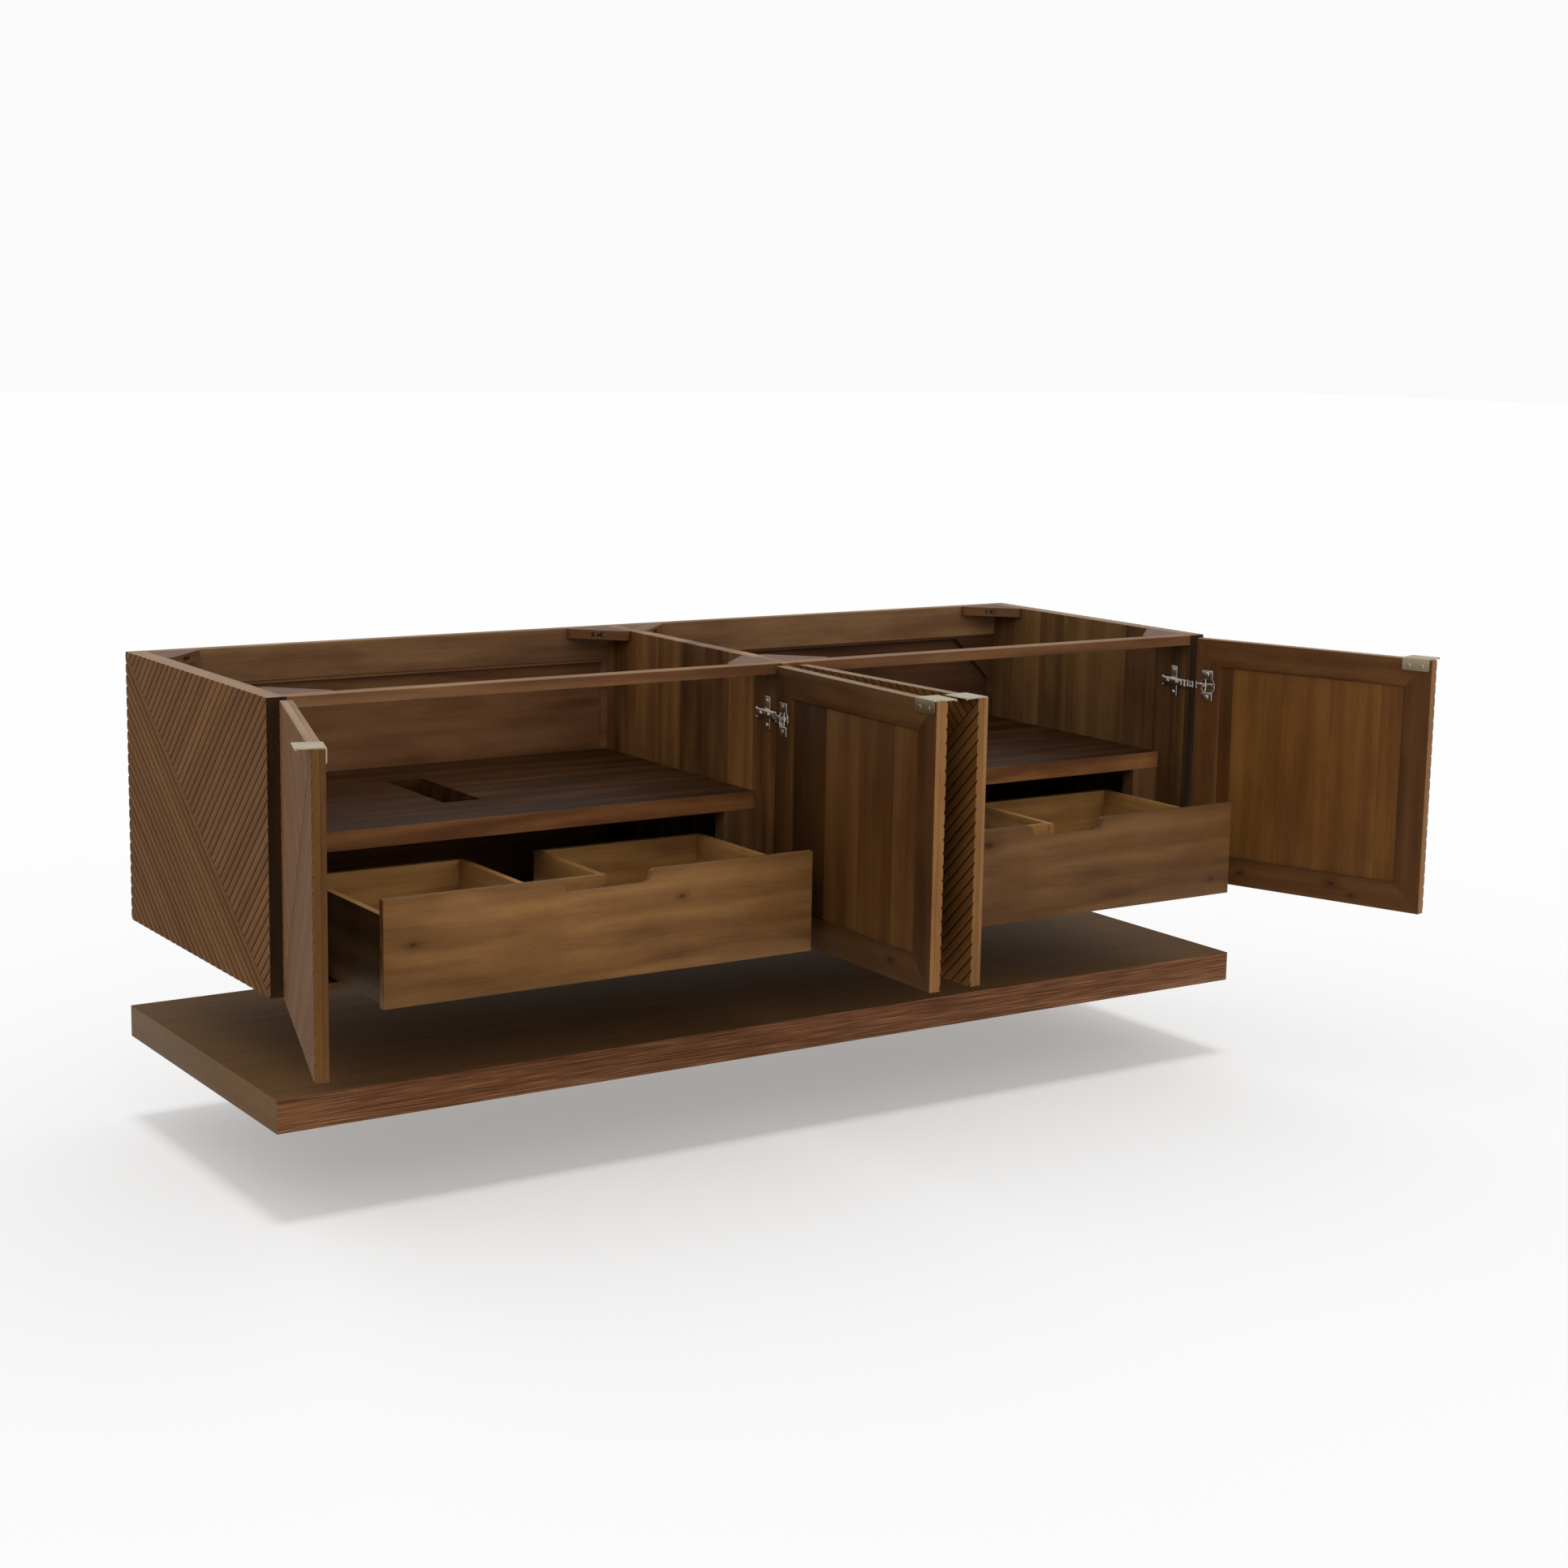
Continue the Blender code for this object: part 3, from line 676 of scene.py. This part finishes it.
for number in (1, 2, 3, 4):
    away = 1 if number % 2 else -1
    face = -away * INNER_LEFT if number in (2, 3) else away * INNER_LEFT
    if number in (2, 3):
        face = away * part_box("divider")[1][0]
    # The outer doors lap the side boards more than the inner ones lap the divider, so their arms differ.
    nose_from, nose_out = (0.0006, 0.0160) if number in (1, 4) else (0.0064, 0.0108)
    nose_end = CABINET_FRONT - nose_out
    for level, height in (("low", HINGE_DROP), ("high", DOOR_HEIGHT - HINGE_DROP)):
        # The arm's own frame: X out of the board that it is screwed to, Y towards the wall, Z up.
        arm = bmesh.new()
        front = CABINET_FRONT
        block(arm, (0.0003, front + 0.031, -0.028), (0.0026, front + 0.047, 0.028), 0.0009, 3)
        block(arm, (0.0026, front + 0.003, -0.0070), (0.0094, front + 0.066, 0.0070), 0.0016, 4)
        block(arm, (0.0094, front + 0.010, -0.0052), (0.0112, front + 0.056, 0.0052), 0.0007, 2)
        rod(arm, (0.0060, front + 0.0645, -0.0085), (0.0060, front + 0.0645, 0.0085), 0.0028)
        for x, y, z, radius in ((0.0111, 0.022, 0, 0.0034), (0.0111, 0.046, 0, 0.0034),
                                (0.0025, 0.039, 0.0205, 0.0038), (0.0025, 0.039, -0.0205, 0.0038)):
            screw(arm, (x, front + y, z), X, radius, 0.0014)
        for cheek in (-1, 1):
            block(arm, (nose_from, nose_end, cheek * 0.0046 - 0.0008),
                  (nose_from + 0.0062, front + 0.006, cheek * 0.0046 + 0.0008), 0.0003)
        block(arm, (nose_from + 0.0002, nose_end + 0.0030, -0.0040),
              (nose_from + 0.0016, front + 0.006, 0.0040), 0.0003)
        for y, radius in ((nose_end + 0.0022, 0.0015), (front - 0.0005, 0.0017)):
            rod(arm, (nose_from + 0.0032, y, -0.0062), (nose_from + 0.0032, y, 0.0062), radius)
        stand = Matrix.Translation((face, 0, DOOR_BASE + height)) @ Matrix.Diagonal((away, 1, 1, 1))
        name = "hinge_arm_door_{}_{}".format(number, level)
        finish_piece(name + "_steel", arm, (nickel,), "cabinet", (name,), stand)

        cup = bmesh.new()
        turned = ((0, 0.0072), (0.0112, 0.0072), (0.0124, 0.0084), (0.0128, 0.0204), (0.0134, 0.0214),
                  (0.0152, 0.0214), (0.0156, 0.0210), (0.0156, 0.0203), (0.0138, 0.0202),
                  (0.0138, 0.0070), (0.0132, 0.0066), (0, 0.0066))
        rim = [cup.verts.new((CUP_MIDDLE + r, y, 0)) for r, y in turned]
        lathe(cup, rim, (CUP_MIDDLE, 0, 0), (0, 1, 0), 40)
        for wing in (-1, 1):
            ends = sorted((wing * 0.0120, wing * 0.0280))
            block(cup, (0.013, 0.0203, ends[0]), (0.035, 0.0221, ends[1]), 0.0008, 3)
            screw(cup, (CUP_MIDDLE, 0.0219, wing * 0.0210), Y, 0.0040, 0.0009)
        block(cup, (0.0020, 0.0205, -0.0046), (0.0150, 0.0223, 0.0046), 0.0006)
        block(cup, (0.0110, 0.0120, -0.0046), (0.0150, 0.0218, 0.0046), 0.0010, 3)
        block(cup, (0.0150, 0.0135, -0.0036), (0.0330, 0.0155, 0.0036), 0.0005)
        rod(cup, (0.0022, 0.0212, -0.0060), (0.0022, 0.0212, 0.0060), 0.0015)
        rod(cup, (0.0180, 0.0150, -0.0112), (0.0180, 0.0150, 0.0112), 0.0018)
        name = "door_{}_hinge_plate_{}".format(number, level)
        stand = door_place(number) @ Matrix.Translation((0, 0, height))
        finish_piece(name + "_cup", cup, (nickel,), "door_" + str(number), (name,), stand)

# ================================================================= doors
# A reeded board of solid walnut with a mitred frame glued to its back, and a panel of upright staves
# let into the frame. Cup holes for the two hinges are bored through the frame near the hinge edge.
STILE = 0.050
PANEL_BACK, PANEL_FACE = 0.0121, 0.0166
# Painted light and shade: the four doors are one wood with a shade set each. Doors 2 and 3, which stand face
# to face, are painted darker for the shade between them, and door 4's panel is painted lighter than door 1's.
DOOR_FRAME_SHADES_AS_LIT = {1: (shade(50, 28, 12), shade(78, 47, 22), shade(100, 67, 34)),
               4: (shade(51, 30, 14), shade(80, 49, 25), shade(102, 70, 38))}
DOOR_PANEL_SHADES_AS_LIT = {1: (shade(48, 28, 11), shade(78, 48, 21), shade(104, 70, 33)),
               4: (shade(57, 34, 14), shade(92, 57, 25), shade(121, 82, 38))}
DOOR_FRAME_SHADES_AS_LIT[2] = DOOR_FRAME_SHADES_AS_LIT[3] = (shade(41, 23, 10), shade(65, 40, 19), shade(85, 57, 29))
DOOR_PANEL_SHADES_AS_LIT[2] = DOOR_PANEL_SHADES_AS_LIT[3] = (shade(41, 23, 9), shade(68, 41, 18), shade(91, 60, 29))
# Painted light on the doors' upright edges: a lit copy for doors 2 to 4, and a shaded copy, painted shade, for
# door 1.
LIT_DOOR_EDGE = (shade(85, 54, 26), shade(126, 87, 49), shade(156, 114, 71))
SHADED_EDGE = (shade(62, 38, 18), shade(94, 62, 31), shade(116, 81, 45))
# Small dark knots, as (along, across, size) from the middle of a frame's lower rail.
DOOR_KNOTS = {1: (), 2: ((0.12, 0.004, 0.004),), 3: (),
              4: ((0.06, 0.006, 0.005), (0.10, -0.010, 0.003), (-0.12, 0.0, 0.003))}
# The frame stands this far off the reeded board, so that the two faces don't fight.
GLUE_LINE = 0.0003
NEAR = 1e-4
walnut_door_back = walnut("walnut_door_hidden_back", PLAIN, figure=0.5)
walnut_lit_door_edges = walnut("walnut_lit_door_edges", LIT_DOOR_EDGE, figure=0.4)
walnut_shaded_edges = walnut("walnut_shaded_edges", SHADED_EDGE, figure=0.4)


def cup_holes():
    """Cutters for the two holes that the hinge cups sit in."""
    return [drill((CUP_MIDDLE, 0.0214, height), Y, CUP_RADIUS, 0.030, 40)
            for height in (HINGE_DROP, DOOR_HEIGHT - HINGE_DROP)]


def turned_round(bm):
    """From a reeded board's frame, with X from the free edge, to a door's, with X from the hinge edge."""
    bm.transform(Matrix.Translation((DOOR_WIDTH, 0, 0)) @ Matrix.Diagonal((-1, 1, 1, 1)))
    bm.normal_update()
    bmesh.ops.recalc_face_normals(bm, faces=bm.faces)


for number in (1, 2, 3, 4):
    name = "door_" + str(number)
    place = door_place(number)
    # Door 1's upright edges take the shaded copy (painted shade), the others the lit one.
    walnut_door_edges = walnut_shaded_edges if number == 1 else walnut_lit_door_edges
    phase = Vector((DOOR_WIDTH, 0, DOOR_HEIGHT)).dot(across_reeds(REED_ANGLE))
    board = reeded_board(DOOR_WIDTH, DOOR_HEIGHT, DOOR_BOARD, phase, 40.0 + number * 3)
    turned_round(board)
    board_skins = (walnut_reeds, walnut_level_edges_lit, walnut_door_back, walnut_door_edges)
    finish_piece(name + "_reeds", board, board_skins, name, (name + "_reeded_board",), place)

    ring = bmesh.new()
    outlines = []
    for inset in (0, STILE):
        far, high = DOOR_WIDTH - inset, DOOR_HEIGHT - inset
        corners = ((inset, inset), (far, inset), (far, high), (inset, high))
        outlines.append([ring.verts.new((x, DOOR_THICK, z)) for x, z in corners])
    outer, inner = outlines
    for at, after in ((0, 1), (1, 2), (2, 3), (3, 0)):
        ring.faces.new((outer[at], outer[after], inner[after], inner[at]))
    ring.normal_update()
    deep = bmesh.ops.extrude_face_region(ring, geom=ring.faces[:])["geom"]
    bmesh.ops.translate(ring, vec=(0, DOOR_BOARD + GLUE_LINE - DOOR_THICK, 0), verts=points_of(deep))
    bmesh.ops.recalc_face_normals(ring, faces=ring.faces)
    on_face = [edge for edge in ring.edges if all(v.co.y > DOOR_THICK - NEAR for v in edge.verts)]
    window = [edge for edge in on_face
              if all(STILE - NEAR < v.co.x < DOOR_WIDTH - STILE + NEAR
                     and STILE - NEAR < v.co.z < DOOR_HEIGHT - STILE + NEAR for v in edge.verts)]
    rim = [edge for edge in on_face if edge not in window and min(span(edge, 0), span(edge, 2)) < NEAR]
    ease(ring, window, 0.0048, 3, 0.62)
    ease(ring, [edge for edge in rim if edge.is_valid], 0.0010, 2)
    ring = bored(ring, cup_holes())
    # Each stile and rail has its own stretch of grain. Only the lower rail's starts at its middle.
    half, apart = STILE / 2, 60.0 + number
    grain_starts = {
        "hinge stile": Vector((DOOR_HEIGHT / 2 - apart, half, 0)),
        "free stile": Vector((DOOR_HEIGHT / 2 + apart, DOOR_WIDTH - half, 0)),
        "lower rail": Vector((DOOR_WIDTH / 2, half, 0)),
        "upper rail": Vector((DOOR_WIDTH / 2 + apart * 2, DOOR_HEIGHT - half, 0)),
    }
    grain = ring.loops.layers.float_vector.new("grain")
    for face in ring.faces:
        middle = face.calc_center_median()
        to_side = min(middle.x, DOOR_WIDTH - middle.x)
        to_end = min(middle.z, DOOR_HEIGHT - middle.z)
        if to_side < to_end:
            which = "hinge stile" if middle.x < DOOR_WIDTH / 2 else "free stile"
            lay_grain(ring, Z, X, 0.0, [face])
        else:
            which = "lower rail" if middle.z < DOOR_HEIGHT / 2 else "upper rail"
            lay_grain(ring, X, Z, 0.0, [face])
        for loop in face.loops:
            loop[grain] -= grain_starts[which]
        face.material_index = 1 if to_end < 0.0002 else 2 if to_side < 0.0002 else 0
    walnut_frame = walnut("walnut_frame_" + name, DOOR_FRAME_SHADES_AS_LIT[number], figure=0.8, knots=DOOR_KNOTS[number])
    frame_skins = (walnut_frame, walnut_level_edges_lit, walnut_door_edges)
    finish_piece(name + "_frame", ring, frame_skins, name, (name + "_back_frame",), place)

    panel = bmesh.new()
    let_in = STILE - 0.0002
    block(panel, (let_in, PANEL_BACK, let_in), (DOOR_WIDTH - let_in, PANEL_FACE, DOOR_HEIGHT - let_in), 0.0004)
    lay_grain(panel, Z, X, 80 + number * 7.3)
    walnut_panel = walnut("walnut_panel_" + name, DOOR_PANEL_SHADES_AS_LIT[number], stave=0.096, figure=0.5, mottle=0.45)
    finish_piece(name + "_panel", panel, (walnut_panel,), name, (), place)

# ================================================================= brass pulls
# One strip of brushed brass bent over each door's top edge near its free end: a flange with rounded
# corners and two round-head screws behind, a flat over the edge, and a rolled bead to pull on.
brass = Finish("brushed_brass", Metallic=1.0, Roughness=0.34)
spot = brass.node("TexCoord", output="Object")
drawn = brass.noise(brass.node("Mapping", None, {"Vector": spot, "Scale": (60, 60, 1900)}), 1.0, 2)
tarnish = brass.noise(spot, 55, 3)
brass.set(Base_Color=brass.blend(tarnish, (0.46, 0.38, 0.25), (0.38, 0.30, 0.18)))
brass.set(Roughness=0.33 + (drawn - 0.5) * 0.14 + (tarnish - 0.5) * 0.12)
brass.set(Normal=brass.node("Bump", None, {"Strength": 0.10, "Distance": 0.0001, "Height": drawn}))
TAB_WIDTH, TAB_SHEET, TAB_REACH, TAB_FLANGE = 0.050, 0.0018, 0.020, 0.020
TAB_FROM_EDGE, TAB_CLEAR, BEAD_RADIUS = 0.004, 0.0003, 0.0018
for number in (1, 2, 3, 4):
    tab = bmesh.new()
    back = DOOR_THICK + TAB_CLEAR
    top = DOOR_HEIGHT + TAB_CLEAR
    start = DOOR_WIDTH - TAB_FROM_EDGE - TAB_WIDTH
    lip = -TAB_REACH + 0.0012
    foot, outer_back, outer_top = top - TAB_FLANGE, back + TAB_SHEET, top + TAB_SHEET
    outline = ((outer_back, foot), (outer_back, outer_top), (lip, outer_top),
               (lip, top), (back, top), (back, foot))
    section = tab.faces.new([tab.verts.new((start, y, z)) for y, z in outline])
    drawn_out = bmesh.ops.extrude_face_region(tab, geom=[section])["geom"]
    bmesh.ops.translate(tab, vec=(TAB_WIDTH, 0, 0), verts=points_of(drawn_out))
    tab.normal_update()
    bend = [edge for edge in tab.edges if span(edge, 0) > 0.01
            and all((v.co - Vector((v.co.x, outer_back, outer_top))).length < 1e-5 for v in edge.verts)]
    feet = [edge for edge in tab.edges
            if span(edge, 1) > NEAR and all(v.co.z < foot + 1e-5 for v in edge.verts)]
    ease(tab, feet, 0.0040, 6)
    ease(tab, [edge for edge in bend if edge.is_valid], 0.0012, 4)
    bead_y, bead_z = -TAB_REACH + BEAD_RADIUS, top + 0.0002
    rod(tab, (start, bead_y, bead_z), (start + TAB_WIDTH, bead_y, bead_z), BEAD_RADIUS, 24)
    for along in (0.013, TAB_WIDTH - 0.013):
        screw(tab, (start + along, outer_back, top - 0.0115), Y, 0.0030, 0.0007)
    name, body = "door_{}_pull_tab".format(number), "door_" + str(number)
    finish_piece(name + "_strip", tab, (brass.material,), body, (name,), door_place(number))

# ================================================================= drawers
# The front is one notched board with its corners eased; behind it is a U-shaped tray of 12 mm boards:
# two deep halves joined across the front, and between them a gap, open at the back, for the waste pipe.
# Painted shade: the two fronts are one wood, and the right one is a darker, shaded copy of the left.
DRAWER_FRONT_SHADES_AS_LIT = {"left": (shade(74, 48, 25), shade(113, 78, 44), shade(139, 101, 60)),
               "right": (shade(62, 39, 20), shade(96, 65, 37), shade(118, 85, 52))}
BOX_WOOD = (shade(91, 61, 33), shade(149, 108, 62), shade(185, 139, 83))
# Painted shade: the outer faces of the tray's side walls are made darker, as if in the shade beside them.
BOX_OUTSIDE_SHADED = (shade(38, 24, 12), shade(67, 47, 27), shade(85, 62, 39))
walnut_box_long = walnut("walnut_box_sides", BOX_WOOD, figure=0.8)
walnut_box_floor = walnut("walnut_box_floors", BOX_WOOD, figure=0.5)
walnut_box_outside_shaded = walnut("walnut_box_outsides_shaded", BOX_OUTSIDE_SHADED, figure=0.6)
NOTCH_HALF_TOP, NOTCH_HALF_FLOOR, NOTCH_DEEP = 0.078, 0.072, 0.021
BOX_WALL, BOX_FLOOR, RECESS_SHIFT, RECESS_HALF, RECESS_FRONT = 0.012, 0.006, -0.015, 0.064, 0.099
# Knots, as (along, across, size) from the middle of a front.
FRONT_KNOTS = {"left": ((-0.325, 0.010, 0.0045), (0.130, 0.034, 0.0035)),
               "right": ((-0.170, 0.056, 0.010), (0.330, -0.052, 0.0035))}
for number, bay in enumerate(("left", "right")):
    body = "drawer_" + bay
    low, high = (Vector(end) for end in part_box("drawer_front_" + bay))
    middle = (low.x + high.x) / 2
    face = bmesh.new()
    notch_floor = high.z - NOTCH_DEEP
    outline = ((low.x, low.z), (high.x, low.z), (high.x, high.z), (middle + NOTCH_HALF_TOP, high.z),
               (middle + NOTCH_HALF_FLOOR, notch_floor), (middle - NOTCH_HALF_FLOOR, notch_floor),
               (middle - NOTCH_HALF_TOP, high.z), (low.x, high.z))
    face.faces.new([face.verts.new((x, low.y, z)) for x, z in outline])
    corners = [vert for vert in face.verts if abs(vert.co.x - middle) < 0.1]
    ease(face, corners, 0.0060, 6, affect="VERTICES")
    pushed = bmesh.ops.extrude_face_region(face, geom=face.faces[:])["geom"]
    bmesh.ops.translate(face, vec=(0, high.y - low.y, 0), verts=points_of(pushed))
    face.normal_update()
    ease(face, [edge for edge in face.edges if span(edge, 1) < 1e-5], 0.0009, 2)
    lay_grain(face, X, Z, 0.0)
    layer = face.loops.layers.float_vector["grain"]
    centre = Vector((middle, (low.z + high.z) / 2, 0))
    for item in face.faces:
        for loop in item.loops:
            loop[layer] -= centre
    wood = walnut("walnut_front_" + bay, DRAWER_FRONT_SHADES_AS_LIT[bay], figure=1.0, knots=FRONT_KNOTS[bay])
    name = "drawer_front_" + bay
    finish_piece(name + "_board", face, (wood,), body, (name,))

    low, high = (Vector(end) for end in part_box("drawer_box_" + bay))
    near, far = middle + RECESS_SHIFT - RECESS_HALF, middle + RECESS_SHIFT + RECESS_HALF
    closed = low.y + RECESS_FRONT
    # The inner faces of the four outer walls, the outer faces of the gap's two walls, and the floor's top.
    left_in, right_in = low.x + BOX_WALL, high.x - BOX_WALL
    front_in, back_in = low.y + BOX_WALL, high.y - BOX_WALL
    near_out, far_out, floor_top = near - BOX_WALL, far + BOX_WALL, low.z + BOX_FLOOR
    boards_along = [((low.x, low.y, low.z), (left_in, high.y, high.z)),
                    ((right_in, low.y, low.z), (high.x, high.y, high.z)),
                    ((near_out, closed, low.z), (near, high.y, high.z)),
                    ((far, closed, low.z), (far_out, high.y, high.z))]
    boards_across = [((left_in, low.y, low.z), (right_in, front_in, high.z)),
                     ((near, closed, low.z), (far, closed + BOX_WALL, high.z)),
                     ((left_in, back_in, low.z), (near_out, high.y, high.z)),
                     ((far_out, back_in, low.z), (right_in, high.y, high.z))]
    floors = [((near_out, front_in, low.z), (far_out, closed, floor_top)),
              ((left_in, front_in, low.z), (near_out, back_in, floor_top)),
              ((far_out, front_in, low.z), (right_in, back_in, floor_top))]
    groups = (("long_boards", boards_along, Y, Z, walnut_box_long),
              ("cross_boards", boards_across, X, Z, walnut_box_long),
              ("floors", floors, X, Y, walnut_box_floor))
    for kind, bars, along, across, skin in groups:
        made = bmesh.new()
        for count, (start, end) in enumerate(bars):
            before = set(made.faces)
            block(made, start, end, 0.0007)
            fresh = [item for item in made.faces if item not in before]
            lay_grain(made, along, across, 120 + number * 11 + count * 2.3, fresh)
            for item in fresh:
                off_middle = abs(item.calc_center_median().x - (low.x + high.x) / 2)
                item.material_index = 1 if off_middle > (high.x - low.x) / 2 - 0.0003 else 0
        stands_for = ("drawer_box_" + bay,) if kind == "long_boards" else ()
        name = "drawer_box_{}_{}".format(bay, kind)
        finish_piece(name, made, (skin, walnut_box_outside_shaded), body, stands_for)

# ================================================================= floating shelf
# A thick slab faced with oak-brown veneer: fine straight lines along its top, a redder strip of veneer
# along the front, and plain bands on the two ends. Its inside isn't made.
SLAB_TOP = (shade(75, 55, 34), shade(102, 76, 49), shade(124, 95, 63))
SLAB_FRONT = (shade(54, 29, 17), shade(100, 64, 40), shade(150, 106, 76))
SLAB_END = (shade(74, 54, 34), shade(98, 74, 48), shade(114, 88, 60))
veneers = (
    walnut("veneer_top", SLAB_TOP, figure=0.1, mottle=0.12, fleck=1.3, streak=7, gloss=0.6, shine=0.015),
    walnut("veneer_front", SLAB_FRONT, figure=0.3, mottle=0.3, fleck=1.6, streak=9, gloss=0.5, shine=0.05),
    walnut("veneer_ends", SLAB_END, figure=0.2, mottle=0.3, fleck=0.3, gloss=0.5, shine=0.05),
)
low, high = (Vector(end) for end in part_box("floating_shelf"))
slab = bmesh.new()
block(slab, low, high, 0.0006)
for face in slab.faces:
    if abs(face.normal.x) > 0.9:
        face.material_index = 2
        lay_grain(slab, Y, Z, 150, [face])
    elif abs(face.normal.y) > 0.9:
        face.material_index = 1
        lay_grain(slab, X, Z, 151, [face])
    else:
        lay_grain(slab, X, Y, 152, [face])
shelf = finish_piece("floating_shelf_slab", slab, veneers, "cabinet", ("floating_shelf",))
slab_only.objects.link(shelf)
